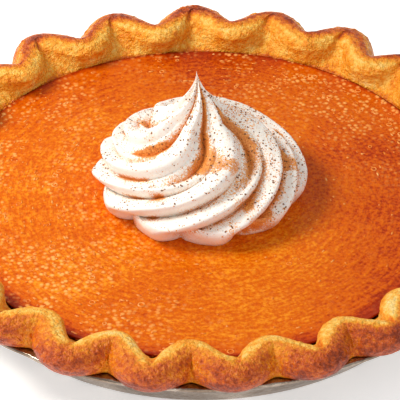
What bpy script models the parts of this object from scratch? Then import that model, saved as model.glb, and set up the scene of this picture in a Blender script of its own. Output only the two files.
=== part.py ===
"""A whole pumpkin pie in its aluminium foil tin, topped with one piped swirl of whipped cream.

Every piece is a closed skin of rings stacked round the pie's axis. The tin and the filling are turned shapes. The crust's
rim is a fat rope of dough that a wave of crimps pushes in and out, and the cream is a dome of twisted ridges.
The pie stands on z = 0, on the tin's flat base, with its axis on z and its front towards -y.
"""

import math

import bmesh
import bpy

MM = 0.001
TAU = 2 * math.pi

# Gap that keeps neighbouring solids apart
CLEARANCE = 0.3 * MM

# Foil tin: a flared dish with a flange and a curled edge
TIN_SEGMENTS = 60
TIN_WALL = 0.5 * MM
TIN_BASE_RADIUS = 100.0 * MM
TIN_CORNER_RADIUS = 3.5 * MM
TIN_MOUTH_RADIUS = 111.5 * MM
TIN_FLANGE_HEIGHT = 21.5 * MM
TIN_CURL_RADIUS = 0.9 * MM
TIN_OUTER_RADIUS = 118.0 * MM

# Pastry shell
CRUST_SEGMENTS = 154
CRUST_WALL = 4.5 * MM
SEAT_WIDTH = 1.0 * MM
FILLING_EDGE_RADIUS = 101.5 * MM
FILLING_EDGE_HEIGHT = 22.4 * MM
WALL_TOP_DROP = 1.0 * MM

# Crimped rim: a rope of dough whose centre line waves in and out
CRIMPS = 22
CRIMP_START = 0.263
CRIMP_DRIFT_BACK = 0.15
CRIMP_DRIFT_RIGHT = 0.19
LOW_REACH = 3.0 * MM
OUTER_REACH = 6.2 * MM
INNER_REACH = 4.4 * MM
ROPE_RADIUS = 111.9 * MM
ROPE_HEIGHT = 26.9 * MM
ROPE_OUTER_HALF_WIDTH = 7.9 * MM
ROPE_INNER_HALF_WIDTH = 6.4 * MM
ROPE_HALF_HEIGHT = 6.9 * MM
ROPE_SQUARENESS = 0.68
PINCH_DEPTH = 1.0 * MM
THUMB_DEPTH = 1.2 * MM
ROPE_STATIONS_DEG = (-52, -14, 26, 64, 96, 126, 158)
# Below the rope: how much of its wave each ring keeps, and the height and step outwards that the rest comes from
INNER_FACE = ((0.72, 20.6 * MM, 0.7 * MM), (0.40, 20.6 * MM, 0.2 * MM), (0.12, 21.3 * MM, 0.1 * MM))

# Pumpkin filling
FILLING_SEGMENTS = 66
FILLING_LEVEL = 22.0 * MM
FILLING_FLAT_RADIUS = 94.0 * MM
FILLING_SHOULDER_RISE = 0.1 * MM

# Whipped cream swirl
CREAM_CENTRE = (-0.6 * MM, 4.0 * MM)
CREAM_RADIUS = 43.0 * MM
CREAM_BODY_HEIGHT = 36.0 * MM
CREAM_TIP_HEIGHT = 17.0 * MM
CREAM_TIP_SHARE = 0.28
CREAM_FOOT_HEIGHT = 9.0 * MM
CREAM_FOOT_TUCK = 0.10
CREAM_BODY_BULGE = 1.43
CREAM_TIP_HOLLOW = 1.6
CREAM_LEAN = (-1.2 * MM, 5.0 * MM)
CREAM_RIDGES = 12
CREAM_RIDGE_START = 0.993
CREAM_RIDGE_CROWDING = 0.2
CREAM_CROWDED_TOWARDS = 2.0
CREAM_RIDGE_LEAN = 0.17
CREAM_RIDGE_DEPTH = 2.6 * MM
CREAM_FOLD_DEPTH = 3.6 * MM
CREAM_FOLDS_BETWEEN = (0.5, 0.9)
CREAM_TWIST = 1.7
CREAM_TWIST_BETWEEN = (5 * MM, 34 * MM)
CREAM_STEADY_TWIST = 7.0
CREAM_TIP_TWIST = 0.9
CREAM_SEGMENTS = 84
CREAM_BODY_RINGS = 9
CREAM_TIP_RINGS = 4


def clear_scene():
    for thing in list(bpy.data.objects):
        bpy.data.objects.remove(thing, do_unlink=True)


def make_material(name, colour, roughness, metallic=0.0):
    material = bpy.data.materials.new(name)
    material.use_nodes = True
    shader = material.node_tree.nodes["Principled BSDF"]
    shader.inputs["Base Color"].default_value = (*colour, 1.0)
    shader.inputs["Roughness"].default_value = roughness
    shader.inputs["Metallic"].default_value = metallic
    return material


def skin(name, rings, material, sharp_deg=40.0):
    """One closed object from rings of points, stacked from its lower pole to its upper pole.

    The first and the last ring are single points, and each ring between them runs anticlockwise seen from above.
    """
    mesh = bpy.data.meshes.new(name)
    bm = bmesh.new()
    rows = [[bm.verts.new(point) for point in ring] for ring in rings]
    count = len(rows[1])
    for below, above in zip(rows, rows[1:]):
        for i in range(count):
            j = (i + 1) % count
            if len(below) == 1:
                bm.faces.new((below[0], above[j], above[i]))
            elif len(above) == 1:
                bm.faces.new((below[i], below[j], above[0]))
            else:
                bm.faces.new((below[i], below[j], above[j], above[i]))
    bmesh.ops.triangulate(bm, faces=bm.faces[:])
    bm.to_mesh(mesh)
    bm.free()
    mesh.materials.append(material)
    mesh.shade_smooth()
    mesh.set_sharp_from_angle(angle=math.radians(sharp_deg))
    obj = bpy.data.objects.new(name, mesh)
    bpy.context.scene.collection.objects.link(obj)
    return obj


def circle(radius, height, segments):
    """A level ring round the pie's axis, or a single point on it where the radius is nothing."""
    if radius == 0:
        return [(0.0, 0.0, height)]
    angles = [TAU * i / segments for i in range(segments)]
    return [(radius * math.cos(a), radius * math.sin(a), height) for a in angles]


def arc(centre, radius, start_deg, end_deg, steps):
    """(radius, height) points along an arc in the turned profile's plane."""
    points = []
    for i in range(steps + 1):
        a = math.radians(start_deg + (end_deg - start_deg) * i / steps)
        points.append((centre[0] + radius * math.cos(a), centre[1] + radius * math.sin(a)))
    return points


def smooth_step(value, low, high):
    """0 below low, 1 above high, and a soft rise between them."""
    share = min(max((value - low) / (high - low), 0.0), 1.0)
    return share * share * (3 - 2 * share)


# Tin


def tin_flare():
    """The wall's lean from upright, in radians."""
    return math.atan2(TIN_MOUTH_RADIUS - TIN_BASE_RADIUS, TIN_FLANGE_HEIGHT)


def tin_wall_radius(height):
    """Radius of the tin's outer wall at a height."""
    return TIN_BASE_RADIUS + height * math.tan(tin_flare())


def build_tin(material):
    turn_deg = 90 - math.degrees(tin_flare())
    corner_reach = TIN_CORNER_RADIUS * math.tan(math.radians(turn_deg / 2))
    corner_centre = (TIN_BASE_RADIUS - corner_reach, TIN_CORNER_RADIUS)
    outer_corner = arc(corner_centre, TIN_CORNER_RADIUS, -90, turn_deg - 90, 2)
    inner_corner = arc(corner_centre, TIN_CORNER_RADIUS - TIN_WALL, turn_deg - 90, -90, 2)

    flange_top = TIN_FLANGE_HEIGHT + TIN_WALL
    curl_centre = (TIN_OUTER_RADIUS - TIN_CURL_RADIUS, flange_top - TIN_CURL_RADIUS)
    curl = arc(curl_centre, TIN_CURL_RADIUS, -180, 90, 5)
    inner_mouth = tin_wall_radius(flange_top) - TIN_WALL / math.cos(tin_flare())

    profile = [(0, 0), *outer_corner, (TIN_MOUTH_RADIUS, TIN_FLANGE_HEIGHT)]
    profile += [(curl_centre[0] - TIN_CURL_RADIUS, TIN_FLANGE_HEIGHT), *curl]
    profile += [(inner_mouth, flange_top), *inner_corner, (0, TIN_WALL)]
    return skin("pie_tin", [circle(r, z, TIN_SEGMENTS) for r, z in profile], material)


# Crust


def crimp_wave(angle):
    """1 where the rim is pushed furthest out, -1 where it comes furthest in."""
    drift = CRIMP_DRIFT_BACK * math.sin(angle) + CRIMP_DRIFT_RIGHT * math.cos(angle)
    return math.cos(TAU * (CRIMPS * angle / TAU + CRIMP_START + drift))


def crimp_strength(angle):
    """Hand-made crimps differ: some are pushed further than others."""
    return 1 + 0.10 * math.sin(3 * angle + 1.0) + 0.08 * math.sin(7 * angle + 2.0)


def crimp_reach(tilt):
    """The wave swings widest at the rope's outer shoulder and least where the dough sits on the tin."""
    outwards = (OUTER_REACH - LOW_REACH) * smooth_step(tilt, -0.7, 0.9)
    return LOW_REACH + outwards - (OUTER_REACH - INNER_REACH) * smooth_step(tilt, 0.9, 2.0)


def rope_radius(angle, tilt):
    return ROPE_RADIUS + crimp_reach(tilt) * crimp_strength(angle) * crimp_wave(angle)


def rope_across(angle, tilt):
    """Unit direction across the rope in plan: partly square to its wave, partly straight out."""
    step = 1e-4
    slope = (rope_radius(angle + step, tilt) - rope_radius(angle - step, tilt)) / (2 * step)
    lean = -ROPE_SQUARENESS * math.atan2(slope, rope_radius(angle, tilt))
    return math.cos(angle + lean), math.sin(angle + lean)


def rope_offset(angle, tilt):
    """How far the surface stands off the rope's centre line, with a pinch at each crest and a thumb's dent at each hollow."""
    wave = crimp_wave(angle)
    half_width = ROPE_OUTER_HALF_WIDTH if math.cos(tilt) > 0 else ROPE_INNER_HALF_WIDTH
    pinch = PINCH_DEPTH * math.exp((wave - 1) / 0.25) * smooth_step(tilt, 1.3, 2.2)
    outer_face = smooth_step(tilt, -0.8, -0.2) * (1 - smooth_step(tilt, 0.3, 1.3))
    thumb = THUMB_DEPTH * math.exp(-(wave + 1) / 0.5) * outer_face
    return half_width * math.cos(tilt) + pinch - thumb


def rope_point(angle, tilt):
    """A point on the rope, at a tilt round its section: 0 is outside, a right angle is on top."""
    radius, across, offset = rope_radius(angle, tilt), rope_across(angle, tilt), rope_offset(angle, tilt)
    sag = 0.35 * MM * math.sin(2 * angle + 0.5) + 0.30 * MM * math.sin(5 * angle + 2.0)
    x = radius * math.cos(angle) + offset * across[0]
    y = radius * math.sin(angle) + offset * across[1]
    z = ROPE_HEIGHT + sag + ROPE_HALF_HEIGHT * math.sin(tilt)
    return x, y, max(z, seat_height())


def rope_ring(station_deg):
    tilt = math.radians(station_deg)
    return [rope_point(TAU * i / CRUST_SEGMENTS, tilt) for i in range(CRUST_SEGMENTS)]


def inner_face_ring(keep, height, outwards):
    """A ring between the rope's last station and the filling's edge, which keeps some of the rope's shape."""
    last = rope_ring(ROPE_STATIONS_DEG[-1])
    plain = circle(FILLING_EDGE_RADIUS + outwards, height, CRUST_SEGMENTS)
    return [tuple(keep * a + (1 - keep) * b for a, b in zip(p, q)) for p, q in zip(last, plain)]


def seat_height():
    """Where the rim's underside rests, just above the tin's flange."""
    return TIN_FLANGE_HEIGHT + TIN_WALL + CLEARANCE


def crust_base_height():
    return TIN_WALL + CLEARANCE


def shell_outer_radius(height):
    """Radius of the pastry's outer wall, just inside the tin."""
    return tin_wall_radius(height) - (TIN_WALL + CLEARANCE) / math.cos(tin_flare())


def shell_floor_radius():
    """Radius of the pastry's inner floor, a wall's thickness inside the outer one."""
    floor = crust_base_height() + CRUST_WALL
    return shell_outer_radius(floor) - CRUST_WALL / math.cos(tin_flare())


def build_crust(material):
    n = CRUST_SEGMENTS
    base = crust_base_height()
    heel = base + TIN_CORNER_RADIUS
    seat = seat_height()
    rings = [
        circle(0, base, n),
        circle(shell_outer_radius(base) - TIN_CORNER_RADIUS, base, n),
        circle(shell_outer_radius(heel), heel, n),
        circle(shell_outer_radius(seat), seat, n),
        circle(TIN_MOUTH_RADIUS + SEAT_WIDTH, seat, n),
    ]
    rings += [rope_ring(station) for station in ROPE_STATIONS_DEG]
    rings += [inner_face_ring(*step) for step in INNER_FACE]
    rings += [
        circle(FILLING_EDGE_RADIUS, FILLING_EDGE_HEIGHT - WALL_TOP_DROP, n),
        circle(shell_floor_radius(), base + CRUST_WALL, n),
        circle(0, base + CRUST_WALL, n),
    ]
    return skin("pie_crust", rings, material)


# Filling


def build_filling(material):
    floor = crust_base_height() + CRUST_WALL + CLEARANCE
    edge = FILLING_EDGE_RADIUS - 1.5 * CLEARANCE
    profile = [
        (0, floor),
        (shell_floor_radius() - CLEARANCE, floor),
        (edge, FILLING_EDGE_HEIGHT - CLEARANCE),
        ((edge + FILLING_FLAT_RADIUS) / 2, FILLING_LEVEL + FILLING_SHOULDER_RISE),
        (FILLING_FLAT_RADIUS, FILLING_LEVEL),
        (0, FILLING_LEVEL),
    ]
    rings = [circle(r, z, FILLING_SEGMENTS) for r, z in profile]
    return skin("pumpkin_filling", rings, material)


# Cream


def cream_radius(height):
    """The swirl's radius over its ridges at a height above the filling: a foot, a domed body and a drawn-out tip."""
    if height < CREAM_FOOT_HEIGHT:
        tuck = (CREAM_FOOT_HEIGHT - height) / CREAM_FOOT_HEIGHT
        return CREAM_RADIUS * (1 - CREAM_FOOT_TUCK * tuck * tuck)
    if height < CREAM_BODY_HEIGHT:
        share = (height - CREAM_FOOT_HEIGHT) / (CREAM_BODY_HEIGHT - CREAM_FOOT_HEIGHT)
        return CREAM_RADIUS * (1 - (1 - CREAM_TIP_SHARE) * share**CREAM_BODY_BULGE)
    share = (height - CREAM_BODY_HEIGHT) / CREAM_TIP_HEIGHT
    return CREAM_RADIUS * CREAM_TIP_SHARE * (1 - share) ** CREAM_TIP_HOLLOW


def cream_twist(height):
    """How far the ridges have turned at a height, fastest half-way up the body."""
    tip = max((height - CREAM_BODY_HEIGHT) / CREAM_TIP_HEIGHT, 0.0)
    body = CREAM_TWIST * smooth_step(height, *CREAM_TWIST_BETWEEN)
    return body + CREAM_STEADY_TWIST * height + CREAM_TIP_TWIST * tip


def cream_groove(around, height, radius):
    """How deep the surface lies below the ridges. The ridges run together in pairs, into folds, towards the top."""
    crowded = around - CREAM_RIDGE_CROWDING * math.sin(around + CREAM_CROWDED_TOWARDS)
    turns = CREAM_RIDGES * crowded / TAU + CREAM_RIDGE_START
    leaning = turns - CREAM_RIDGE_LEAN * (math.cos(TAU * turns) + 1) / 2
    to_folds = smooth_step(height / CREAM_BODY_HEIGHT, *CREAM_FOLDS_BETWEEN)
    most = 0.28 * radius
    ridge_depth = min(CREAM_RIDGE_DEPTH * (1 - 0.75 * to_folds), most)
    fold_depth = min(CREAM_FOLD_DEPTH * to_folds, most)
    between_ridges = 1 - abs(math.cos(math.pi * leaning)) ** 0.65
    between_folds = 1 - abs(math.cos(math.pi / 2 * turns)) ** 0.7
    return 2 * (ridge_depth * between_ridges + fold_depth * between_folds)


def cream_ring(height):
    radius, twist = cream_radius(height), cream_twist(height)
    share = height / (CREAM_BODY_HEIGHT + CREAM_TIP_HEIGHT)
    ring = []
    for i in range(CREAM_SEGMENTS):
        around = TAU * i / CREAM_SEGMENTS
        reach = max(radius - cream_groove(around, height, radius), 0.2 * radius)
        x = CREAM_CENTRE[0] + CREAM_LEAN[0] * share**3 + reach * math.cos(around + twist)
        y = CREAM_CENTRE[1] + CREAM_LEAN[1] * share**3 + reach * math.sin(around + twist)
        ring.append((x, y, FILLING_LEVEL + CLEARANCE + height))
    return ring


def build_cream(material):
    """Rings turn with the ridges, so that their facets follow each ridge up to the tip."""
    top = CREAM_BODY_HEIGHT + CREAM_TIP_HEIGHT
    heights = [CREAM_BODY_HEIGHT * i / CREAM_BODY_RINGS for i in range(CREAM_BODY_RINGS + 1)]
    step = CREAM_TIP_HEIGHT / (CREAM_TIP_RINGS + 1)
    heights += [CREAM_BODY_HEIGHT + step * (i + 1) for i in range(CREAM_TIP_RINGS)]
    low = (*CREAM_CENTRE, FILLING_LEVEL + CLEARANCE)
    peak = (CREAM_CENTRE[0] + CREAM_LEAN[0], CREAM_CENTRE[1] + CREAM_LEAN[1], low[2] + top)
    rings = [[low], *[cream_ring(h) for h in heights], [peak]]
    return skin("whipped_cream", rings, material)


def main():
    clear_scene()
    build_tin(make_material("foil", (0.62, 0.60, 0.58), 0.32, 1.0))
    build_crust(make_material("pastry", (0.72, 0.36, 0.10), 0.6))
    build_filling(make_material("pumpkin_custard", (0.80, 0.20, 0.012), 0.3))
    build_cream(make_material("cream", (0.93, 0.87, 0.80), 0.5))


main()
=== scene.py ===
import math

import bmesh
import bpy
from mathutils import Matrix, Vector, noise


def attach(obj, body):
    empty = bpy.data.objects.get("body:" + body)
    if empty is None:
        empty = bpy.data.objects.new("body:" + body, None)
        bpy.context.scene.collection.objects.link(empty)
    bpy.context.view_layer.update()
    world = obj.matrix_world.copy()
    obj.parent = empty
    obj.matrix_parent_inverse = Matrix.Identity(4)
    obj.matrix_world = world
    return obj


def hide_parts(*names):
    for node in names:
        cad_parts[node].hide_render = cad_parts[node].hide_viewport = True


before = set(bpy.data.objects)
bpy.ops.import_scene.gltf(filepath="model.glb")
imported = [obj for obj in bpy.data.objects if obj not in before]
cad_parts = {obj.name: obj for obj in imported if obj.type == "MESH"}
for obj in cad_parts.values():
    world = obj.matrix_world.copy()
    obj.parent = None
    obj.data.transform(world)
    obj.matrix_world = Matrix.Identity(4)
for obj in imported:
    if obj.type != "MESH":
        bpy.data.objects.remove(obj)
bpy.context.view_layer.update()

mm = 0.001
tau = 2 * math.pi

# sums inside a node tree, for shapes and materials alike


class Field:
    def __init__(self, tree, socket):
        self.tree, self.socket = tree, socket

    def math(self, operation, *others):
        node = self.tree.nodes.new("ShaderNodeMath")
        node.operation = operation
        for slot, value in zip(node.inputs, (self, *others)):
            feed(self.tree, slot, value)
        return Field(self.tree, node.outputs[0])

    def __add__(self, other):
        return self.math("ADD", other)

    def __sub__(self, other):
        return self.math("SUBTRACT", other)

    def __mul__(self, other):
        return self.math("MULTIPLY", other)

    def __truediv__(self, other):
        return self.math("DIVIDE", other)

    def __pow__(self, other):
        return self.math("POWER", other)

    def __rsub__(self, other):
        return self * -1 + other

    __radd__ = __add__
    __rmul__ = __mul__

    def sine(self):
        return self.math("SINE")

    def cosine(self):
        return self.math("COSINE")

    def size(self):
        return self.math("ABSOLUTE")

    def atLeast(self, other):
        return self.math("MAXIMUM", other)

    def atMost(self, other):
        return self.math("MINIMUM", other)

    def step(self, low, high):  # 0 below low, 1 above high, smooth between
        node = self.tree.nodes.new("ShaderNodeMapRange")
        node.interpolation_type = "SMOOTHSTEP"
        for label, value in (("Value", self), ("From Min", low), ("From Max", high)):
            feed(self.tree, node.inputs[label], value)
        return Field(self.tree, node.outputs["Result"])


def feed(tree, slot, value):
    if isinstance(value, Field):
        tree.links.new(value.socket, slot)
    else:
        slot.default_value = value


def vectorOf(tree, x, y, z):
    node = tree.nodes.new("ShaderNodeCombineXYZ")
    for slot, value in zip(node.inputs, (x, y, z)):
        feed(tree, slot, value)
    return Field(tree, node.outputs[0])


def partsOf(tree, vector):
    node = tree.nodes.new("ShaderNodeSeparateXYZ")
    feed(tree, node.inputs[0], vector)
    return [Field(tree, output) for output in node.outputs]


def noiseOf(tree, vector, perMetre, detail=2.0, roughness=0.5):
    node = tree.nodes.new("ShaderNodeTexNoise")
    feed(tree, node.inputs["Vector"], vector)
    feed(tree, node.inputs["Scale"], perMetre)
    node.inputs["Detail"].default_value = detail
    node.inputs["Roughness"].default_value = roughness
    return Field(tree, node.outputs[0])


def cellsOf(tree, vector, perMetre, feature="F1"):
    node = tree.nodes.new("ShaderNodeTexVoronoi")
    node.feature = feature
    feed(tree, node.inputs["Vector"], vector)
    feed(tree, node.inputs["Scale"], perMetre)
    return Field(tree, node.outputs["Distance"])


# geometry trees


def shapeTree(name, sizes):
    tree = bpy.data.node_groups.new(name, "GeometryNodeTree")
    tree.interface.new_socket("Geometry", in_out="INPUT", socket_type="NodeSocketGeometry")
    for label, value in sizes.items():
        kind = "NodeSocketInt" if isinstance(value, int) else "NodeSocketFloat"
        tree.interface.new_socket(label, in_out="INPUT", socket_type=kind).default_value = value
    tree.interface.new_socket("Geometry", in_out="OUTPUT", socket_type="NodeSocketGeometry")
    entry = tree.nodes.new("NodeGroupInput")
    fields = {label: Field(tree, entry.outputs[label]) for label in sizes}
    return tree, Field(tree, entry.outputs["Geometry"]), fields


def place(tree, kind, geometry, **values):
    node = tree.nodes.new(kind)
    if geometry is not None:
        feed(tree, node.inputs[0], geometry)
    for label, value in values.items():
        slot = next(s for s in node.inputs if s.name.replace(" ", "") == label and s.enabled)
        feed(tree, slot, value)
    return node


def attributeOf(tree, name):
    node = tree.nodes.new("GeometryNodeInputNamedAttribute")
    node.inputs["Name"].default_value = name
    return Field(tree, node.outputs[0])


def inputOf(tree, kind):  # each point's own Position or Normal
    return Field(tree, tree.nodes.new("GeometryNodeInput" + kind).outputs[0])


def moveTo(tree, geometry, position):
    return Field(tree, place(tree, "GeometryNodeSetPosition", geometry, Position=position).outputs[0])


def pushOut(tree, geometry, distance):  # along the surface's own normal
    scale = tree.nodes.new("ShaderNodeVectorMath")
    scale.operation = "SCALE"
    feed(tree, scale.inputs[0], inputOf(tree, "Normal"))
    feed(tree, scale.inputs["Scale"], distance)
    offset = Field(tree, scale.outputs[0])
    return Field(tree, place(tree, "GeometryNodeSetPosition", geometry, Offset=offset).outputs[0])


def remember(tree, geometry, name, value):
    node = tree.nodes.new("GeometryNodeStoreNamedAttribute")
    feed(tree, node.inputs["Geometry"], geometry)
    node.inputs["Name"].default_value = name
    feed(tree, node.inputs["Value"], value)
    return Field(tree, node.outputs[0])


def finishTree(tree, geometry, material):
    solid = place(tree, "GeometryNodeRealizeInstances", geometry).outputs[0]
    painted = place(tree, "GeometryNodeSetMaterial", Field(tree, solid), Material=material).outputs[0]
    output = tree.nodes.new("NodeGroupOutput")
    tree.links.new(painted, output.inputs["Geometry"])


def runTree(name, base, tree, sizes):
    modifier = base.modifiers.new(name, "NODES")
    modifier.node_group = tree
    for item in tree.interface.items_tree:
        if item.in_out == "INPUT" and item.name in sizes:
            modifier[item.identifier] = sizes[item.name]
    graph = bpy.context.evaluated_depsgraph_get()
    mesh = bpy.data.meshes.new_from_object(base.evaluated_get(graph), depsgraph=graph)
    base.modifiers.remove(modifier)
    return putInScene(name, mesh)


# meshes


def putInScene(name, mesh):
    mesh.name = name
    piece = bpy.data.objects.new(name, mesh)
    bpy.context.scene.collection.objects.link(piece)
    return piece


def ringSkin(name, rings, numbers=None):
    # closed skin of rings from the lower pole to the upper one; a one-point ring is a pole
    points, starts = [], []
    for ring in rings:
        starts.append(len(points))
        points += ring
    count = max(len(ring) for ring in rings)
    faces = []
    for k in range(len(rings) - 1):
        low, high = starts[k], starts[k + 1]
        for i in range(count):
            j = (i + 1) % count
            if len(rings[k]) == 1:
                faces.append((low, high + j, high + i))
            elif len(rings[k + 1]) == 1:
                faces.append((low + i, low + j, high))
            else:
                faces.append((low + i, low + j, high + j, high + i))
    mesh = bpy.data.meshes.new(name)
    mesh.from_pydata(points, [], faces)
    for label, values in (numbers or {}).items():
        mesh.attributes.new(label, "FLOAT", "POINT").data.foreach_set("value", values)
    return putInScene(name, mesh)


def faceOutwards(piece):
    bm = bmesh.new()
    bm.from_mesh(piece.data)
    bmesh.ops.recalc_face_normals(bm, faces=bm.faces[:])
    bm.to_mesh(piece.data)
    bm.free()


def smoothFaces(piece, sharpDegrees=180):
    piece.data.shade_smooth()
    if sharpDegrees < 180:
        piece.data.set_sharp_from_angle(angle=math.radians(sharpDegrees))


def dropObject(thing):
    bpy.data.objects.remove(thing, do_unlink=True)


def turnedRing(radius, height, count):
    if radius == 0:
        return [(0.0, 0.0, height)]
    steps = [tau * i / count for i in range(count)]
    return [(radius * math.cos(a), radius * math.sin(a), height) for a in steps]


def arcOf(centre, radius, startDegrees, endDegrees, steps):
    sweep = endDegrees - startDegrees
    angles = [math.radians(startDegrees + sweep * i / steps) for i in range(steps + 1)]
    return [(centre[0] + radius * math.cos(a), centre[1] + radius * math.sin(a)) for a in angles]


# materials


def shaderGroup(name, inputs, outputs):
    tree = bpy.data.node_groups.new(name, "ShaderNodeTree")
    for label, value in inputs.items():
        kind = "NodeSocketVector" if value is None else "NodeSocketFloat"
        slot = tree.interface.new_socket(label, in_out="INPUT", socket_type=kind)
        if value is not None:
            slot.default_value = value
    for label in outputs:
        tree.interface.new_socket(label, in_out="OUTPUT", socket_type="NodeSocketFloat")
    entry, leave = tree.nodes.new("NodeGroupInput"), tree.nodes.new("NodeGroupOutput")
    return tree, {label: Field(tree, entry.outputs[label]) for label in inputs}, leave


def mottleGroup():
    # broad and fine blotches together, as baking leaves them
    inputs = {"Vector": None, "Blotch per metre": 60.0, "Fleck per metre": 400.0}
    tree, given, leave = shaderGroup("bakedMottle", inputs, ("Blotch", "Fleck"))
    blotch = noiseOf(tree, given["Vector"], given["Blotch per metre"], 3.0, 0.55)
    fleck = noiseOf(tree, given["Vector"], given["Fleck per metre"], 4.0, 0.6)
    tree.links.new(blotch.step(0.3, 0.7).socket, leave.inputs["Blotch"])
    tree.links.new(fleck.step(0.3, 0.7).socket, leave.inputs["Fleck"])
    return tree


def grainGroup():
    # small relief for a Bump node: rounded grains over finer ones
    tree, given, leave = shaderGroup(
        "surfaceGrain", {"Vector": None, "Grain per metre": 500.0, "Fine share": 0.4}, ("Height",)
    )
    coarse = noiseOf(tree, given["Vector"], given["Grain per metre"], 2.0, 0.5)
    fine = noiseOf(tree, given["Vector"], given["Grain per metre"] * 3.3, 2.0, 0.5)
    tree.links.new((coarse + fine * given["Fine share"]).socket, leave.inputs["Height"])
    return tree


mottleTree = mottleGroup()
grainTree = grainGroup()


def newMaterial(name, roughness, **sockets):
    material = bpy.data.materials.new(name)
    material.use_nodes = True
    tree = material.node_tree
    shader = tree.nodes["Principled BSDF"]
    shader.inputs["Roughness"].default_value = roughness
    for label, value in sockets.items():
        shader.inputs[label.replace("_", " ")].default_value = value
    return material, tree, shader


def objectPoint(tree):
    return Field(tree, tree.nodes.new("ShaderNodeTexCoord").outputs["Object"])


def groupIn(tree, group, **values):
    node = tree.nodes.new("ShaderNodeGroup")
    node.node_tree = group
    for label, value in values.items():
        feed(tree, node.inputs[label.replace("_", " ")], value)
    return {output.name: Field(tree, output) for output in node.outputs}


def spotsOf(tree, point, look):
    perMetre = {"Blotch_per_metre": look["blotchesPerMetre"], "Fleck_per_metre": look["flecksPerMetre"]}
    return groupIn(tree, mottleTree, Vector=point, **perMetre)


def tintOf(spots, blotchShare):
    return spots["Blotch"] * blotchShare + spots["Fleck"] * (1 - blotchShare)


def grainOf(tree, point, look):
    sizes = {"Grain_per_metre": look["grainPerMetre"], "Fine_share": look["fineShare"]}
    return groupIn(tree, grainTree, Vector=point, **sizes)["Height"]


def roughenBy(tree, shader, spots, look):
    least, blotchAdds, fleckAdds = look["roughness"]
    rough = spots["Blotch"] * blotchAdds + spots["Fleck"] * fleckAdds + least
    tree.links.new(rough.socket, shader.inputs["Roughness"])


def shaderAttribute(tree, name):
    node = tree.nodes.new("ShaderNodeAttribute")
    node.attribute_name = name
    return Field(tree, node.outputs["Fac"])


def linear(red, green, blue):
    # a colour given as 0-255 values, as the shader wants it
    shares = [value / 255 for value in (red, green, blue)]
    return tuple(s / 12.92 if s <= 0.04045 else ((s + 0.055) / 1.055) ** 2.4 for s in shares) + (1.0,)


def colourRamp(tree, position, stops):
    node = tree.nodes.new("ShaderNodeValToRGB")
    feed(tree, node.inputs[0], position)
    elements = node.color_ramp.elements
    for spot, _ in stops[1:-1]:
        elements.new(spot)
    for element, (spot, colour) in zip(elements, stops):
        element.position, element.color = spot, linear(*colour)
    return Field(tree, node.outputs["Color"])


def mixColours(tree, share, first, second):
    node = tree.nodes.new("ShaderNodeMix")
    node.data_type = "RGBA"
    feed(tree, node.inputs[0], share)
    feed(tree, node.inputs[6], first)
    feed(tree, node.inputs[7], second)
    return Field(tree, node.outputs[2])


def bumpFrom(tree, shader, height, depth):
    node = tree.nodes.new("ShaderNodeBump")
    node.inputs["Distance"].default_value = depth
    feed(tree, node.inputs["Height"], height)
    tree.links.new(node.outputs["Normal"], shader.inputs["Normal"])


# foil tin

tin = {
    "wall": 0.5 * mm,
    "baseRadius": 100.0 * mm,
    "cornerRadius": 3.5 * mm,
    "mouthRadius": 111.5 * mm,
    "flangeHeight": 21.5 * mm,
    "curlRadius": 0.9 * mm,
    "outerRadius": 118.0 * mm,
    "segments": 840,
    "dentDepth": 0.6 * mm,
    "dentsPerMetre": 55,
    "creaseDepth": 0.45 * mm,
    "creasesPerMetre": 150,
    "creaseStretch": 0.12,
    "smoothBelow": 3.0 * mm,
    "dentedAbove": 17.0 * mm,
    "cornerSteps": 6,
    "curlSteps": 14,
    "wallSteps": 8,
    "baseRingRadius": 62.0 * mm,
    "baseRingDepth": 0.5 * mm,
    "baseRingHalfWidth": 3.0 * mm,
}
# roughness: the least, what blotches add and what flecks add
foil = {
    "roughness": (0.16, 0.08, 0.05),
    "blotchesPerMetre": 75.0,
    "flecksPerMetre": 700.0,
    # tint: mottled aluminium grey made darker and browner than bare foil, a painted reflection of the brown
    # crust and painted shade
    "tint": ((0.0, (122, 104, 88)), (0.5, (154, 136, 120)), (1.0, (190, 176, 162))),
    "grainPerMetre": 160.0,
    "fineShare": 0.5,
    "grainDepth": 0.5 * mm,
}


def foilMaterial():
    material, tree, shader = newMaterial("foil", 0.33, Metallic=1.0)
    point = objectPoint(tree)
    spots = spotsOf(tree, point, foil)
    # painted reflection and painted shade in the foil's colour: darker and browner than bare aluminium
    colour = colourRamp(tree, tintOf(spots, 0.7), foil["tint"])
    tree.links.new(colour.socket, shader.inputs["Base Color"])
    roughenBy(tree, shader, spots, foil)
    bumpFrom(tree, shader, grainOf(tree, point, foil), foil["grainDepth"])
    return material


def tinProfile():
    wall, corner, curl, flange = (tin[k] for k in ("wall", "cornerRadius", "curlRadius", "flangeHeight"))
    flare = math.atan2(tin["mouthRadius"] - tin["baseRadius"], flange)
    turn = 90 - math.degrees(flare)
    centre = (tin["baseRadius"] - corner * math.tan(math.radians(turn / 2)), corner)
    top = flange + wall
    curlCentre = (tin["outerRadius"] - curl, top - curl)
    innerMouth = tin["baseRadius"] + top * math.tan(flare) - wall / math.cos(flare)
    outerCorner = arcOf(centre, corner, -90, turn - 90, tin["cornerSteps"])
    innerCorner = arcOf(centre, corner - wall, turn - 90, -90, tin["cornerSteps"])
    outerWall = splitEvenly([*outerCorner, (tin["mouthRadius"], flange)], tin["wallSteps"])
    innerWall = splitEvenly([(innerMouth, top), *innerCorner], tin["wallSteps"])
    rolledEdge = [(curlCentre[0] - curl, flange), *arcOf(curlCentre, curl, -180, 90, tin["curlSteps"])]
    return [(0, 0), *baseRing(0), *outerWall, *rolledEdge, *innerWall, *baseRing(wall)[::-1], (0, wall)]


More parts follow.
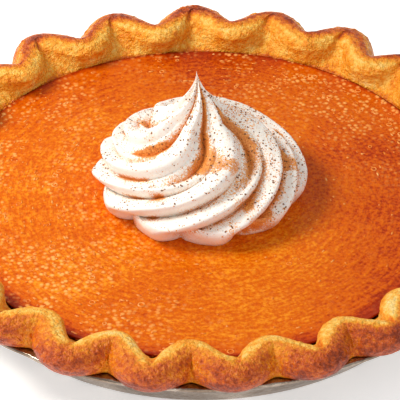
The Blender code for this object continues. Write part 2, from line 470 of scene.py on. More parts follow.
def baseRing(lift):
    # shallow ring pressed up into the tin's bottom, which stays clear of the crust's floor
    middle, depth, half = tin["baseRingRadius"], tin["baseRingDepth"], tin["baseRingHalfWidth"]
    if lift:
        return [(middle, lift)]
    shares = (-1.0, -0.5, 0.0, 0.5, 1.0)
    return [(middle + share * half, depth * 0.6 * math.cos(share * math.pi / 2) ** 2) for share in shares]


def splitEvenly(points, pieces):
    longest = max(range(len(points) - 1), key=lambda k: math.dist(points[k], points[k + 1]))
    a, b = points[longest], points[longest + 1]
    extra = [tuple(p + (q - p) * i / pieces for p, q in zip(a, b)) for i in range(1, pieces)]
    return points[: longest + 1] + extra + points[longest + 1 :]


def dentedRing(radius, height):
    ring = []
    rise = (height - tin["smoothBelow"]) / (tin["dentedAbove"] - tin["smoothBelow"])
    wallShare = min(max(rise, 0), 1) if radius > tin["baseRadius"] else 0
    for x, y, z in turnedRing(radius, height, tin["segments"]):
        dent = tin["dentDepth"] * noise.noise(Vector((x, y, z)) * tin["dentsPerMetre"])
        creased = Vector((x, y, z * tin["creaseStretch"])) * tin["creasesPerMetre"]
        crease = tin["creaseDepth"] * noise.noise(creased)
        push = 1 + (dent + crease) / max(radius, 1 * mm) * wallShare
        ring.append((x * push, y * push, z))
    return ring


def buildTin(material):
    piece = ringSkin("foilTin", [dentedRing(radius, height) for radius, height in tinProfile()])
    faceOutwards(piece)
    smoothFaces(piece, 50)
    piece.data.materials.append(material)
    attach(piece, "root")
    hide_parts("pie_tin")
    return piece


# pastry shell with its crimped rim

crust = {
    "Crimps": 22.0,
    "Crimp start": 0.263,
    "Drift to the back": 0.15,
    "Drift to the right": 0.19,
    "Low reach": 3.0 * mm,
    "Outer reach": 6.2 * mm,
    "Inner reach": 4.4 * mm,
    "Rope radius": 111.9 * mm,
    "Rope height": 26.9 * mm,
    "Outer half width": 7.9 * mm,
    "Inner half width": 6.4 * mm,
    "Rope half height": 6.9 * mm,
    "Squareness": 0.68,
    "Seat height": 22.3 * mm,
    "Lip radius": 118.4 * mm,
    "Overhang": 1.8 * mm,
    "Pinch depth": 2.6 * mm,
    "Pinch slant": -0.03,
    "Thumb depth": 1.2 * mm,
    "Pillow depth": 1.5 * mm,
    "Lump depth": 0.9 * mm,
    "Flake depth": 0.3 * mm,
    "Blister depth": 0.45 * mm,
}
crustRings = {
    "around": 1056,
    "ropeSteps": 74,
    "ropeStart": -52,
    "ropeEnd": 158,
    "wall": 4.5 * mm,
    "gap": 0.3 * mm,
    "fillingEdge": 101.5 * mm,
    "fillingEdgeHeight": 22.4 * mm,
    # grip of the rope, height, reach past the filling's edge, open surface
    "bulges": (
        (0.90, 22.0 * mm, 1.2 * mm, 0.9), (0.80, 21.0 * mm, 0.9 * mm, 0.9), (0.68, 20.4 * mm, 0.6 * mm, 0.9),
        (0.55, 20.3 * mm, 0.3 * mm, 0.8), (0.40, 20.6 * mm, 0.1 * mm, 0.7), (0.24, 20.9 * mm, 0.0, 0.5),
        (0.10, 21.4 * mm, 0.0, 0.2),
    ),
}
# how much darker each place is than pale dough, from baked browning and from painted shade; negative is
# lighter, as the inner lip, partly a painted highlight
bakingAndShade = {
    "dough": 0.44,
    "lowOutside": 0.62,
    "topEdge": 0.26,
    "farTop": 0.34,
    "rightSide": 0.3,
    "innerLip": -0.22,
    "blisters": 0.1,
    "flakes": 0.32,
    "lumps": 0.06,
    "pinches": 0.45,
    "nearFilling": 0.35,
    "darkest": 0.92,
}
pastry = {
    "roughness": (0.26, 0.0, 0.2),
    "blotchesPerMetre": 110.0,
    "flecksPerMetre": 600.0,
    "blotchShare": 0.2,
    "fleckShare": 0.27,
    "tint": (
        (0.00, (255, 220, 140)), (0.20, (255, 196, 84)), (0.40, (246, 158, 30)),
        (0.60, (226, 120, 6)), (0.80, (194, 78, 0)), (1.00, (138, 46, 0)),
    ),
    "softness": (1.0, 0.7, 0.4),
    "grainPerMetre": 430.0,
    "fineShare": 0.5,
    "grainDepth": 1.6 * mm,
}


def pastryMaterial():
    material, tree, shader = newMaterial(
        "bakedPastry", 0.5, Subsurface_Weight=0.1, Subsurface_Scale=2 * mm, Specular_IOR_Level=0.38
    )
    shader.inputs["Subsurface Radius"].default_value = pastry["softness"]
    point = objectPoint(tree)
    spots = spotsOf(tree, point, pastry)
    # the darkness stored with the crust's shape: baked browning with painted shade and a painted highlight
    share = shaderAttribute(tree, "browning") + (spots["Blotch"] - 0.5) * pastry["blotchShare"]
    share = share + (spots["Fleck"] - 0.5) * pastry["fleckShare"]
    colour = colourRamp(tree, share, pastry["tint"])
    tree.links.new(colour.socket, shader.inputs["Base Color"])
    roughenBy(tree, shader, spots, pastry)
    bumpFrom(tree, shader, grainOf(tree, point, pastry), pastry["grainDepth"])
    return material


def crustTree(material):
    tree, geometry, size = shapeTree("crimpedPastry", crust)
    angle, tilt, grip = (attributeOf(tree, name) for name in ("angle", "tilt", "grip"))

    def waveAt(where):
        drift = where.sine() * size["Drift to the back"] + where.cosine() * size["Drift to the right"]
        return ((size["Crimps"] * where / tau + size["Crimp start"] + drift) * tau).cosine()

    # the crimps swing widest at the rim's outer shoulder and least where the dough sits on the tin
    swing = size["Low reach"] + (size["Outer reach"] - size["Low reach"]) * tilt.step(-0.7, 0.9)
    swing = swing - (size["Outer reach"] - size["Inner reach"]) * tilt.step(0.9, 2.0)

    def reachAt(where):
        strength = (where * 3 + 1.0).sine() * 0.10 + (where * 7 + 2.0).sine() * 0.08 + 1
        return size["Rope radius"] + swing * strength * waveAt(where)

    wave, reach = waveAt(angle), reachAt(angle)
    slope = (reachAt(angle + 0.0005) - reachAt(angle - 0.0005)) / 0.001
    heading = angle - (slope / reach).math("ARCTANGENT") * size["Squareness"]
    around = vectorOf(tree, angle.cosine() * 0.11, angle.sine() * 0.11, tilt * 0.006)

    # finger pinch behind each crest and thumb dent in front of each hollow
    pinchWave = waveAt(angle + (tilt - 1.57) * size["Pinch slant"])
    innerFace = tilt.step(1.3, 1.8) * (1 - tilt.step(2.1, 2.7))
    sharpPinch = ((1 - pinchWave) / -0.05).math("EXPONENT") * innerFace
    softPinch = ((1 - pinchWave) / -0.25).math("EXPONENT") * tilt.step(1.3, 2.2)
    outerFace = (1 - tilt.step(0.3, 1.3)) * tilt.step(-0.8, -0.2)
    thumb = ((wave + 1) / -0.5).math("EXPONENT") * outerFace * size["Thumb depth"]

    turn = tilt.cosine()
    across = turn.atLeast(0.0) * size["Outer half width"] + turn.atMost(0.0) * size["Inner half width"]
    across = across - thumb + (sharpPinch + softPinch * 0.45) * size["Pinch depth"]
    lump = (noiseOf(tree, around, 90.0, 2.0) - 0.5) * 2
    x = angle.cosine() * reach + heading.cosine() * across
    y = angle.sine() * reach + heading.sine() * across
    sag = (angle * 2 + 0.5).sine() * 0.35 * mm + (angle * 5 + 2.0).sine() * 0.3 * mm
    z = size["Rope height"] + sag + tilt.sine() * size["Rope half height"]
    outThere = (x * x + y * y).math("SQRT").step(size["Lip radius"], size["Lip radius"] + 1.6 * mm)
    z = z.atLeast(size["Seat height"] - outThere * size["Overhang"])

    flatX, flatY, flatZ = partsOf(tree, inputOf(tree, "Position"))
    # plump pillows between the pinches, down to the filling
    pocket = (wave * 0.4 * mm + lump * 0.3 * mm) * attributeOf(tree, "pocket")
    middle = grip.step(0.1, 0.6) * tilt.step(1.6, 2.6)
    pillow = (waveAt(angle + 0.03) * -0.5 + 0.5).step(0.1, 0.9) * middle * size["Pillow depth"]
    position = vectorOf(
        tree,
        (x - angle.cosine() * pillow) * grip + (flatX + angle.cosine() * pocket) * (1 - grip),
        (y - angle.sine() * pillow) * grip + (flatY + angle.sine() * pocket) * (1 - grip),
        z * grip + flatZ * (1 - grip),
    )
    geometry = moveTo(tree, geometry, position)

    # lumps, lengthwise flakes and blisters stand out of the shaped dough
    soft = attributeOf(tree, "open") * tilt.step(-0.85, -0.3)
    here = inputOf(tree, "Position")
    flakes = noiseOf(tree, vectorOf(tree, angle * 0.03, tilt * 0.0085, 0.0), 420.0, 3.0, 0.6)
    blister = noiseOf(tree, here, 230.0, 1.0).step(0.60, 0.72)
    fine = noiseOf(tree, here, 520.0, 2.0) - 0.5
    relief = lump * 0.5 * size["Lump depth"] + (flakes - 0.5) * 2 * size["Flake depth"]
    relief = relief + blister * size["Blister depth"] + fine * 0.5 * mm
    geometry = pushOut(tree, geometry, relief * soft)

    # how dark each spot is: baked browning mixed with painted shade and a painted highlight
    farEdge = angle.sine().step(0.1, 0.9)
    # low outer faces darker: baked browning, deepened with painted shade as on faces turned from the light
    lowOutside = (1 - tilt.step(-0.3, 1.3)) * (wave * 0.4 + 0.6) * (1 - farEdge * 0.5)
    # darker along the rope's outer shoulder, less at the back
    topEdge = tilt.step(0.3, 0.8) * (1 - tilt.step(1.2, 1.7)) * (wave * 0.3 + 0.7) * (1 - farEdge * 0.769)
    # lighter on the inner lip and the inner face: paler dough, with a painted highlight along the inner top
    # edge
    innerLip = tilt.step(1.35, 1.8) * (1 - tilt.step(2.0, 2.6) * 0.7) + (1 - grip) * 0.5
    # darker where the pastry meets the filling
    contact = 1 - grip.step(0.05, 0.3)
    # painted shade: the back rope's upper face darker, against the key light falling on it
    farTop = farEdge * tilt.step(1.0, 1.3) * (1 - tilt.step(1.7, 2.2))
    # painted shade: the right side darker, away from the key light
    rightSide = angle.cosine().step(0.2, 1.0) * (1 - farEdge) * (1 - tilt.step(1.0, 1.8))
    # the creases of the pinches darker: painted shade
    places = {
        "lowOutside": lowOutside, "topEdge": topEdge, "farTop": farTop, "rightSide": rightSide,
        "innerLip": innerLip, "blisters": blister, "flakes": flakes - 0.5, "lumps": lump,
        "pinches": sharpPinch, "nearFilling": contact,
    }
    bakedAndShaded = sum((share * bakingAndShade[label] for label, share in places.items()), bakingAndShade["dough"])
    geometry = remember(tree, geometry, "browning", bakedAndShaded.atMost(bakingAndShade["darkest"]))
    finishTree(tree, geometry, material)
    return tree


def crustBase():
    count, gap = crustRings["around"], crustRings["gap"]
    flare = math.atan2(tin["mouthRadius"] - tin["baseRadius"], tin["flangeHeight"])
    base = tin["wall"] + gap
    heel = base + tin["cornerRadius"]
    flange = tin["flangeHeight"] + tin["wall"] + gap

    def shell(height):
        return tin["baseRadius"] + height * math.tan(flare) - (tin["wall"] + gap) / math.cos(flare)

    floor = base + crustRings["wall"]
    floorRadius = shell(floor) - crustRings["wall"] / math.cos(flare)
    start, end = math.radians(crustRings["ropeStart"]), math.radians(crustRings["ropeEnd"])
    edge, edgeHeight = crustRings["fillingEdge"], crustRings["fillingEdgeHeight"]
    # radius, height, tilt round the rope, grip of the rope, share of the pocket, open surface
    outside = (
        (0, base), (shell(base) - tin["cornerRadius"], base), (shell(heel), heel), (shell(flange), flange),
        (tin["mouthRadius"] + 1.0 * mm, flange),
    )
    rows = [(radius, height, start, 0, 0, 0) for radius, height in outside]
    steps = crustRings["ropeSteps"]
    for k in range(steps + 1):
        tilt = start + (end - start) * k / steps
        rows.append((crust["Rope radius"], crust["Rope height"], tilt, 1, 0, 1))
    # the inner face bulges on down to the filling
    for grip, low, out, openShare in crustRings["bulges"]:
        rows.append((edge + out, low, end, grip, 1 - grip, openShare))
    inside = ((edge, edgeHeight - 1 * mm), (floorRadius, floor), (0, floor))
    rows += [(radius, height, end, 0, 0, 0) for radius, height in inside]
    rings, numbers = [], {"angle": [], "tilt": [], "grip": [], "pocket": [], "open": []}
    for radius, height, tilt, grip, pocket, openShare in rows:
        ring = turnedRing(radius, height, count)
        rings.append(ring)
        numbers["angle"] += [tau * i / count for i in range(len(ring))]
        for label, value in (("tilt", tilt), ("grip", grip), ("pocket", pocket), ("open", openShare)):
            numbers[label] += [value] * len(ring)
    return ringSkin("crustBase", rings, numbers)


def buildCrust(material):
    base = crustBase()
    piece = runTree("bakedCrust", base, crustTree(material), crust)
    dropObject(base)
    smoothFaces(piece)
    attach(piece, "root")
    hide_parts("pie_crust")
    return piece


# set pumpkin filling

filling = {
    "level": 22.0 * mm,
    "edgeRadius": 101.0 * mm,
    "edgeRise": 0.7 * mm,
    "flatRadius": 94.0 * mm,
    "floorHeight": 6.0 * mm,
    "floorRadius": 87.0 * mm,
    "Wave depth": 0.5 * mm,
    "Bump depth": 0.12 * mm,
    "swellsPerMetre": 26.0,
    "bumpsPerMetre": 330.0,
    "dimplesPerMetre": 260.0,
    "around": 640,
    "across": 130,
}
custard = {
    "roughness": (0.22, 0.0, 0.16),
    "blotchesPerMetre": 28.0,
    "flecksPerMetre": 640.0,
    "streaksPerMetre": 520.0,
    "bubblesPerMetre": 430.0,
    "clumpsPerMetre": 60.0,
    "middle": 0.54,
    # painted shade: how much darker the far side, the right and the back are
    "farDarker": 0.1,
    "rightDarker": 0.3,
    "backDarker": 0.18,
    "rimDarker": 0.3,
    "tint": (
        (0.00, (156, 42, 0)), (0.15, (184, 62, 0)), (0.32, (208, 88, 0)),
        (0.55, (221, 105, 0)), (0.85, (244, 149, 28)),
    ),
    # painted highlight colour of the glints on bubbles
    "bubble": (255, 184, 100),
    "grainPerMetre": 520.0,
    "fineShare": 0.35,
    "grainDepth": 0.22 * mm,
}


def custardMaterial():
    material, tree, shader = newMaterial(
        "pumpkinCustard", 0.3, Coat_Weight=0.1, Coat_Roughness=0.12, Specular_IOR_Level=0.08
    )
    point = objectPoint(tree)
    spots = spotsOf(tree, point, custard)
    x, y, _ = partsOf(tree, point)
    reach = (x * x + y * y).math("SQRT")
    edge = reach.step(89 * mm, 101.5 * mm)
    farSide = (x + y).step(0.0, 125 * mm)
    nearSide = (y * -1).step(0.0, 60 * mm)
    contact = reach.step(99.0 * mm, 101.0 * mm)
    along = vectorOf(tree, x.math("ARCTAN2", y) * 0.022, reach, 0.0)
    streak = noiseOf(tree, along, custard["streaksPerMetre"], 3.0, 0.65).step(0.3, 0.7) - 0.5
    small = (spots["Fleck"] - 0.5) * 0.34 + streak * (0.32 - farSide * 0.16)
    mottle = (spots["Blotch"] - 0.5) * 0.2 + small * (1 - edge * 0.5)
    rightOnly = x.step(20 * mm, 85 * mm) * (1 - y.step(20 * mm, 60 * mm))
    backOnly = y.step(40 * mm, 90 * mm) * (1 - x.step(20 * mm, 60 * mm))
    share = custard["middle"] + mottle - edge * (0.12 + nearSide * 0.34) - contact * custard["rimDarker"]
    # painted shade: darker towards the far side, the right and the back, away from the key light
    share = share - farSide * custard["farDarker"] - rightOnly * custard["rightDarker"]
    share = share - backOnly * custard["backDarker"]
    colour = colourRamp(tree, share, custard["tint"])
    # painted highlights: small light spots standing in for glints on bubbles, mostly at the left and far
    # right
    leftSide = (x * -1 - y * 0.2).step(-10 * mm, 75 * mm)
    farRight = (x * 0.7 + y * 0.9).step(50 * mm, 95 * mm)
    clump = noiseOf(tree, point, custard["clumpsPerMetre"], 2.0).step(0.4, 0.6)
    bubble = 1 - cellsOf(tree, point, custard["bubblesPerMetre"]).step(0.16, 0.5)
    spot = bubble * clump * (leftSide.atLeast(farRight * 0.85) * 0.85 + 0.06)
    colour = mixColours(tree, spot, colour, linear(*custard["bubble"]))
    tree.links.new(colour.socket, shader.inputs["Base Color"])
    roughenBy(tree, shader, spots, custard)
    bumpFrom(tree, shader, grainOf(tree, point, custard) + streak * 0.8 + spot, custard["grainDepth"])
    return material


def fillingTree(material):
    sizes = {label: filling[label] for label in ("Wave depth", "Bump depth")}
    tree, geometry, size = shapeTree("setCustard", sizes)
    here = inputOf(tree, "Position")
    top = attributeOf(tree, "open")
    swell = noiseOf(tree, here, filling["swellsPerMetre"], 2.0) - 0.5
    bump = noiseOf(tree, here, filling["bumpsPerMetre"], 2.0) - 0.5
    dimple = cellsOf(tree, here, filling["dimplesPerMetre"], "SMOOTH_F1").step(0.5, 0.05)
    lift = swell * size["Wave depth"] + bump * size["Bump depth"] + dimple * size["Bump depth"] * 0.5
    geometry = pushOut(tree, geometry, lift * top)
    finishTree(tree, geometry, material)
    return tree


def buildFilling(material):
    count, level = filling["around"], filling["level"]
    edge = filling["edgeRadius"]
    rows = [(0, filling["floorHeight"], 0), (filling["floorRadius"], filling["floorHeight"], 0)]
    rows.append((edge - 0.5 * mm, level - 0.5 * mm, 0))
    for k in range(filling["across"]):
        radius = edge * (1 - k / filling["across"])
        climb = max(0.0, (radius - filling["flatRadius"]) / (edge - filling["flatRadius"]))
        rows.append((radius, level + filling["edgeRise"] * climb**2, 1 if k > 1 else 0.3))
    rows.append((0, level, 1))
    rings = [turnedRing(r, z, count) for r, z, _ in rows]
    numbers = {"open": [row[2] for row, ring in zip(rows, rings) for _ in ring]}
    base = ringSkin("fillingBase", rings, numbers)
    piece = runTree("pumpkinFilling", base, fillingTree(material), filling)
    dropObject(base)
    smoothFaces(piece)
    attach(piece, "root")
    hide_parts("pumpkin_filling")
    return piece


# whipped cream swirl

cream = {
    "Centre x": -0.6 * mm,
    "Centre y": 4.0 * mm,
    "Radius": 43.0 * mm,
    "Body height": 36.0 * mm,
    "Tip height": 17.0 * mm,
    "Tip share": 0.28,
    "Foot height": 9.0 * mm,
    "Foot tuck": 0.10,
    "Body bulge": 1.43,
    "Tip hollow": 1.6,
    "Lean x": -1.2 * mm,
    "Lean y": 5.0 * mm,
    "Ridges": 12.0,
    "Ridge start": 0.993,
    "Ridge crowding": 0.2,
    "Ridge depth": 3.1 * mm,
    "Ridge lean": 0.17,
    "Fold depth": 4.0 * mm,
    "Twist": 1.7,
    "Waviness": 1.6 * mm,
    "Base level": 22.1 * mm,
}
creamGrid = {"around": 420, "up": 200}
whipped = {
    "roughness": (0.38, 0.0, 0.2),
    "blotchesPerMetre": 120.0,
    "flecksPerMetre": 1500.0,
    "smudgesPerMetre": 70.0,
    "softness": (1.0, 0.94, 0.8),
    "white": ((0.0, (254, 247, 236)), (1.0, (255, 254, 249))),
    "spice": ((0.0, (204, 104, 20)), (1.0, (246, 172, 86))),
    "grainPerMetre": 420.0,
    "fineShare": 0.5,
    "grainDepth": 0.25 * mm,
}


def creamMaterial():
    material, tree, shader = newMaterial(
        "whippedCream", 0.45, Subsurface_Weight=0.2, Subsurface_Scale=3 * mm
    )
    shader.inputs["Subsurface Radius"].default_value = whipped["softness"]
    point = objectPoint(tree)
    spots = spotsOf(tree, point, whipped)
    # spice colour where cinnamon lies, heavier on the right of the swirl, where it is also painted shade
    dust = shaderAttribute(tree, "dusting")
    smudge = noiseOf(tree, point, whipped["smudgesPerMetre"], 1.0).step(0.55, 0.66) * dust * 2.4
    uneven = (spots["Blotch"] - 0.5) * 0.3 + (spots["Fleck"] - 0.5) * 0.7
    cover = (dust + smudge + uneven).step(0.28, 0.8)
    white = colourRamp(tree, spots["Blotch"], whipped["white"])
    spiced = colourRamp(tree, spots["Fleck"], whipped["spice"])
    tree.links.new(mixColours(tree, cover, white, spiced).socket, shader.inputs["Base Color"])
    roughenBy(tree, shader, spots, whipped)
    bumpFrom(tree, shader, grainOf(tree, point, whipped), whipped["grainDepth"])
    return material


def creamTree(material):
    tree, _, size = shapeTree("pipedCream", cream)
    grid = place(tree, "GeometryNodeMeshGrid", None, SizeX=1.0, SizeY=1.0)
    grid.inputs["Vertices X"].default_value = creamGrid["around"] + 1
    grid.inputs["Vertices Y"].default_value = creamGrid["up"] + 1
    across, up, _ = partsOf(tree, inputOf(tree, "Position"))
    geometry = remember(tree, Field(tree, grid.outputs[0]), "around", (across + 0.5) * tau)
    geometry = remember(tree, geometry, "up", up + 0.5)
    around, up = attributeOf(tree, "around"), attributeOf(tree, "up")

    underside = up.step(0.0, 0.03)
    rise = ((up - 0.03) / 0.97).atLeast(0.0)
    height = rise * (size["Body height"] + size["Tip height"])

    def tipAt(where):
        return ((where - size["Body height"]) / size["Tip height"]).atLeast(0.0).atMost(1.0)

    def radiusAt(where):
        foot = size["Foot height"]
        tuck = ((foot - where) / foot).atLeast(0.0)
        body = ((where - foot) / (size["Body height"] - foot)).atLeast(0.0).atMost(1.0)
        radius = size["Radius"] * (1 - tuck * tuck * size["Foot tuck"])
        radius = radius * (1 - (1 - size["Tip share"]) * body ** size["Body bulge"])
        return radius * (1 - tipAt(where)) ** size["Tip hollow"]

    # which way the swirl's side faces, outwards and up
    tip, radius = tipAt(height), radiusAt(height)
    fall = (radius - radiusAt(height + 0.4 * mm)) / (0.4 * mm)
    length = (fall * fall + 1).math("SQRT")
    outShare, upShare = length**-1.0, fall / length

    climb = (height / size["Body height"]).atMost(1.0)
    twist = height.step(5 * mm, 34 * mm) * size["Twist"] + height * 7.0 + tip * 0.9
    crowded = around - (around + 2.0).sine() * size["Ridge crowding"]
    turns = crowded * size["Ridges"] / tau + size["Ridge start"]
    crest = turns - ((turns * tau).cosine() + 1) * 0.5 * size["Ridge lean"]
    lobeWave = (crest * math.pi).cosine().size()
    foldWave = (turns * (math.pi / 2)).cosine().size()
    angle = around + twist

    # the lower lobes run together in pairs towards the top
    toFolds = climb.step(0.42, 0.82)
    rightSide = (angle - 0.3).cosine() * 0.5 + 0.5
    lobeDepth = size["Ridge depth"] * (1.3 - rightSide * 0.15) * (1 - toFolds * 0.75)
    foldDepth = size["Fold depth"] * toFolds
    most = radius * 0.28
    column = vectorOf(tree, angle.cosine() * 0.03, angle.sine() * 0.03, height)
    wavy = noiseOf(tree, column, 60.0, 1.0) - 0.5
    cut = (lobeWave ** 0.65 - 1) * 2 * lobeDepth.atMost(most)
    cut = cut + (foldWave ** 0.7 - 1) * 2 * foldDepth.atMost(most) + wavy * size["Waviness"] * (1 - tip)
    reach = (radius + cut * outShare).atLeast(0.0) * underside
    drift = rise ** 3
    x = size["Centre x"] + size["Lean x"] * drift + angle.cosine() * reach
    y = size["Centre y"] + size["Lean y"] * drift + angle.sine() * reach
    z = size["Base level"] + height + cut * upShare * (1 - tip) * underside * height.step(0.0, 4 * mm)
    geometry = moveTo(tree, geometry, vectorOf(tree, x, y, z))
    # spice colour in the hollows, higher up and on the right: cinnamon, and on the right also painted shade
    hollow = ((1 - lobeWave) * (1 - toFolds) + (1 - foldWave) * toFolds).step(0.25, 1.0)
    spread = rightSide * 0.84 + climb.step(0.35, 0.9) * 0.4
    geometry = remember(tree, geometry, "dusting", hollow * (spread + 0.2) + spread * 0.27)
    joined = place(tree, "GeometryNodeMergeByDistance", geometry, Distance=0.004 * mm).outputs[0]
    here = inputOf(tree, "Position")
    soft = noiseOf(tree, here, 240.0, 2.0) - 0.5
    geometry = pushOut(tree, Field(tree, joined), soft * 0.5 * mm * underside)
    finishTree(tree, geometry, material)
    return tree


def buildCream(material):
    base = putInScene("creamBase", bpy.data.meshes.new("creamBase"))
    piece = runTree("pipedCream", base, creamTree(material), cream)
    dropObject(base)
    faceOutwards(piece)
    smoothFaces(piece)
    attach(piece, "root")
    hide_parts("whipped_cream")
    return piece


# spice on the cream

spice = {
    "specks": {"Per square metre": 240000.0, "Seed": 3, "Smallest": 0.26, "Largest": 0.62, "Rarest": 0.25},
    "dust": {"Per square metre": 800000.0, "Seed": 11, "Smallest": 0.16, "Largest": 0.38, "Rarest": 0.20},
}
spiceLook = {
    "blotchesPerMetre": 300.0,
    "flecksPerMetre": 1800.0,
    "specks": ((0.0, (96, 56, 30)), (1.0, (162, 104, 60))),
    "dust": ((0.0, (198, 106, 30)), (1.0, (234, 158, 74))),
}


def spiceMaterial(name, tint):
    material, tree, shader = newMaterial(name, 0.75)
    spots = spotsOf(tree, objectPoint(tree), spiceLook)
    colour = colourRamp(tree, tintOf(spots, 0.6), tint)
    tree.links.new(colour.socket, shader.inputs["Base Color"])
    return material


def scatterTree(name, sizes, material, grain, squash, mask, spin="tumbled"):
    # grains on a surface, denser where the mask is high: tumbled, lying flat, or flat and along the rim
    tree, geometry, size = shapeTree(name, sizes)
    chance = mask(tree, size)
    spread = place(tree, "GeometryNodeDistributePointsOnFaces", geometry, Seed=size["Seed"])
    feed(tree, spread.inputs["Density"], size["Per square metre"] * chance)
    turn = tree.nodes.new("FunctionNodeRandomValue")
    turn.data_type = "FLOAT_VECTOR"
    feed(tree, turn.inputs["Seed"], size["Seed"])
    turn.inputs[1].default_value = (0.5, 0.5, tau) if spin == "tumbled" else (0.0, 0.0, tau)
    rotation = Field(tree, turn.outputs[0])
    if spin == "along":
        x, y, _ = partsOf(tree, inputOf(tree, "Position"))
        rotation = vectorOf(tree, 0.0, 0.0, y.math("ARCTAN2", x) + math.pi / 2)
    scale = tree.nodes.new("FunctionNodeRandomValue")
    limits = {"Min": size["Smallest"], "Max": size["Largest"], "Seed": size["Seed"] + 1}
    for slot in scale.inputs:
        if slot.enabled and slot.name in limits:
            feed(tree, slot, limits[slot.name])
    if spin == "tumbled":
        spun = place(tree, "FunctionNodeRotateEuler", Field(tree, spread.outputs["Rotation"]))
        spun.space = "LOCAL"
        feed(tree, spun.inputs["Rotate By"], rotation)
        rotation = Field(tree, spun.outputs[0])
    each = Field(tree, next(o for o in scale.outputs if o.enabled)) * mm
    copies = tree.nodes.new("GeometryNodeInstanceOnPoints")
    feed(tree, copies.inputs["Points"], Field(tree, spread.outputs["Points"]))
    feed(tree, copies.inputs["Instance"], grain(tree))
    feed(tree, copies.inputs["Rotation"], rotation)
    feed(tree, copies.inputs["Scale"], vectorOf(tree, each, each * squash[0], each * squash[1]))
    finishTree(tree, Field(tree, copies.outputs[0]), material)
    return tree


def crumbGrain(tree):
    node = tree.nodes.new("GeometryNodeMeshIcoSphere")
    node.inputs["Radius"].default_value = 1.0
    node.inputs["Subdivisions"].default_value = 1
    return Field(tree, node.outputs["Mesh"])


def spiceMask(tree, size):
    # more towards the top and the right, none on faces that look down
    x, y, z = partsOf(tree, inputOf(tree, "Position"))
    _, _, facingUp = partsOf(tree, inputOf(tree, "Normal"))
    right = (x * 0.8 + y * 0.6).step(-30 * mm, 30 * mm)
    high = z.step(32 * mm, 62 * mm)
    clump = noiseOf(tree, vectorOf(tree, x, y, z), 90.0, 2.0).step(0.35, 0.65)
    more = right * 0.5 + high * 0.2 + attributeOf(tree, "dusting") * 0.6
    share = size["Rarest"] + (1 - size["Rarest"]) * more
    return share * facingUp.step(-0.15, 0.5) * (clump * 0.7 + 0.3)


def buildSpice(creamPiece):
    kinds = (
        ("specks", "darkSpice", "spiceSpecks", (0.7, 0.45)),
        ("dust", "cinnamonDust", "cinnamonDust", (0.8, 0.5)),
    )
    for kind, materialName, name, squash in kinds:
        material = spiceMaterial(materialName, spiceLook[kind])
        tree = scatterTree(name, spice[kind], material, crumbGrain, squash, spiceMask)
        piece = runTree(name, creamPiece, tree, spice[kind])
        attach(piece, "root")


# bubbles that rose through the filling

bubbles = {
    "rims": {"Per square metre": 9000.0, "Seed": 7, "Smallest": 0.5, "Largest": 1.2, "Rarest": 0.15},
    "beads": {"Per square metre": 40000.0, "Seed": 9, "Smallest": 0.3, "Largest": 0.75, "Rarest": 0.2},
    "streaks": {"Per square metre": 52000.0, "Seed": 5, "Smallest": 0.5, "Largest": 1.5, "Rarest": 0.08},
    "drops": {"Per square metre": 130000.0, "Seed": 4, "Smallest": 0.5, "Largest": 1.5, "Rarest": 0.0},
}
bubbleHighlightLook = {
    "blotchesPerMetre": 90.0,
    "flecksPerMetre": 1200.0,
    # tint: lighter than the custard, a painted highlight on the rims, beads, streaks and edge drops
    "tint": ((0.0, (228, 108, 6)), (0.5, (240, 138, 34)), (1.0, (252, 188, 110))),
}


def bubbleHighlightMaterial():
    material, tree, shader = newMaterial("bubbleHighlight", 0.3, Coat_Weight=0.12, Coat_Roughness=0.1)
    spots = spotsOf(tree, objectPoint(tree), bubbleHighlightLook)
    # painted highlight: a lighter orange than the custard it sits on
    colour = colourRamp(tree, tintOf(spots, 0.7), bubbleHighlightLook["tint"])
    tree.links.new(colour.socket, shader.inputs["Base Color"])
    return material


def ringGrain(tree):
    # a low burst-bubble rim: a small circle swept along a bigger one
    circles = []
    for radius, points in ((1.0, 11), (0.32, 4)):
        circle = tree.nodes.new("GeometryNodeCurvePrimitiveCircle")
        circle.inputs["Resolution"].default_value = points
        circle.inputs["Radius"].default_value = radius
        circles.append(circle.outputs["Curve"])
    sweep = tree.nodes.new("GeometryNodeCurveToMesh")
    for slot, circle in zip(sweep.inputs, circles):
        tree.links.new(circle, slot)
    smooth = place(tree, "GeometryNodeSetShadeSmooth", Field(tree, sweep.outputs[0]))
    return Field(tree, smooth.outputs[0])


def beadGrain(tree):
    return Field(tree, place(tree, "GeometryNodeSetShadeSmooth", crumbGrain(tree)).outputs[0])


def bubbleMask(tree, size):
    # thickest at the left and towards the back right
    x, y, z = partsOf(tree, inputOf(tree, "Position"))
    _, _, facingUp = partsOf(tree, inputOf(tree, "Normal"))
    left = (x * -1 - y * 0.2).step(0.0, 70 * mm)
    back = (x * 0.7 + y * 0.9).step(45 * mm, 95 * mm)
    reach = (x * x + y * y).math("SQRT")
    inside = 1 - reach.step(98.5 * mm, 99.5 * mm)
    fromCream = y - cream["Centre y"]
    away = (x * x + fromCream * fromCream).math("SQRT").step(40 * mm, 41 * mm)
    top = facingUp.step(0.6, 0.8) * z.step(20 * mm, 21 * mm)
    clump = noiseOf(tree, vectorOf(tree, x, y, 0.0), 60.0, 2.0).step(0.4, 0.62)
    share = size["Rarest"] + (1 - size["Rarest"]) * left.atLeast(back)
    return share * inside * away * top * (clump * 0.8 + 0.2)


def dropMask(tree, size):
    # a broken line of juice where the filling meets the pastry
    x, y, z = partsOf(tree, inputOf(tree, "Position"))
    reach = (x * x + y * y).math("SQRT")
    band = reach.step(99.6 * mm, 100.2 * mm) * (1 - reach.step(100.8 * mm, 101.0 * mm))
    clump = noiseOf(tree, vectorOf(tree, x, y, 0.0), 55.0, 1.0).step(0.5, 0.62)
    return band * clump * z.step(20 * mm, 21 * mm)


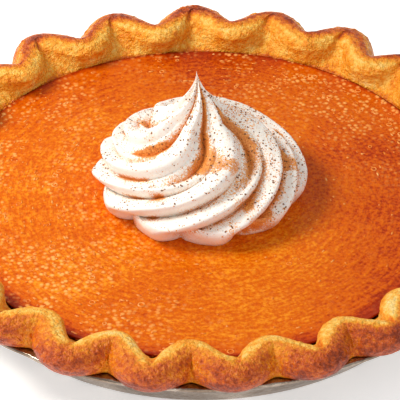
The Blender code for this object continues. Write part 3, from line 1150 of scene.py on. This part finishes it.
def buildBubbles(fillingPiece, material):
    kinds = (
        ("rims", ringGrain, "bubbleRims", (1.0, 0.8), bubbleMask, "flat"),
        ("beads", beadGrain, "bubbleBeads", (0.8, 0.45), bubbleMask, "flat"),
        ("streaks", beadGrain, "juiceStreaks", (0.36, 0.14), bubbleMask, "along"),
        ("drops", beadGrain, "edgeDrops", (0.35, 0.3), dropMask, "along"),
    )
    for kind, grain, name, squash, mask, spin in kinds:
        tree = scatterTree(name, bubbles[kind], material, grain, squash, mask, spin)
        piece = runTree(name, fillingPiece, tree, bubbles[kind])
        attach(piece, "root")


# surroundings

view = {
    "elevation": 37.3,
    "distance": 1.0,
    "lens": 221.4,
    "aimRight": -0.45 * mm,
    "aimUp": 14.8 * mm,
    "keySpot": (-0.5, 0.05, 0.56),
    "keySize": 0.3,
    "keyPower": 4.7,
    "keyColour": (1.0, 0.95, 0.87),
    "fillSpot": (0.1, -1.2, 0.6),
    "fillSize": 1.0,
    "fillPower": 2.4,
    "fillColour": (1.0, 1.0, 1.0),
    "floorHalf": 3.0,
    "worldStrength": 0.52,
    "floorGlow": 0.42,
}


def buildFloor():
    mesh = bpy.data.meshes.new("paleFloor")
    half = view["floorHalf"]
    corners = [(x * half, y * half, 0) for x, y in ((-1, -1), (1, -1), (1, 1), (-1, 1))]
    mesh.from_pydata(corners, [], [(0, 1, 2, 3)])
    floor = putInScene("paleFloor", mesh)
    material, _, shader = newMaterial("paleFloor", 0.7)
    shader.inputs["Base Color"].default_value = (0.95, 0.95, 0.95, 1.0)
    shader.inputs["Emission Color"].default_value = (1.0, 1.0, 1.0, 1.0)
    shader.inputs["Emission Strength"].default_value = view["floorGlow"]
    mesh.materials.append(material)


def addLight(kind):
    name, spot = kind + "Light", Vector(view[kind + "Spot"])
    data = bpy.data.lights.new(name, "AREA")
    data.shape, data.size = "DISK", view[kind + "Size"]
    data.energy, data.color = view[kind + "Power"], view[kind + "Colour"]
    light = bpy.data.objects.new(name, data)
    light.location = spot
    light.rotation_euler = (Vector((0, 0, 30 * mm)) - spot).to_track_quat("-Z", "Y").to_euler()
    bpy.context.scene.collection.objects.link(light)


def addCamera():
    tilt = math.radians(view["elevation"])
    away = Vector((0, -math.cos(tilt), math.sin(tilt)))
    up = Vector((0, math.sin(tilt), math.cos(tilt)))
    data = bpy.data.cameras.new("camera")
    data.lens, data.sensor_width = view["lens"], 36
    camera = bpy.data.objects.new("camera", data)
    camera.location = away * view["distance"] + up * view["aimUp"] + Vector((view["aimRight"], 0, 0))
    camera.rotation_euler = (-away).to_track_quat("-Z", "Y").to_euler()
    bpy.context.scene.collection.objects.link(camera)
    bpy.context.scene.camera = camera


def addWorld():
    world = bpy.data.worlds.new("softRoom")
    world.use_nodes = True
    background = world.node_tree.nodes["Background"]
    background.inputs["Color"].default_value = (1.0, 1.0, 1.0, 1.0)
    background.inputs["Strength"].default_value = view["worldStrength"]
    bpy.context.scene.world = world
    bpy.context.scene.view_settings.view_transform = "Standard"


buildTin(foilMaterial())
print("tin made")
buildCrust(pastryMaterial())
print("crust made")
fillingPiece = buildFilling(custardMaterial())
buildBubbles(fillingPiece, bubbleHighlightMaterial())
print("filling made")
creamPiece = buildCream(creamMaterial())
buildSpice(creamPiece)
print("cream made")
buildFloor()
addLight("key")
addLight("fill")
addCamera()
addWorld()
print("scene lit")
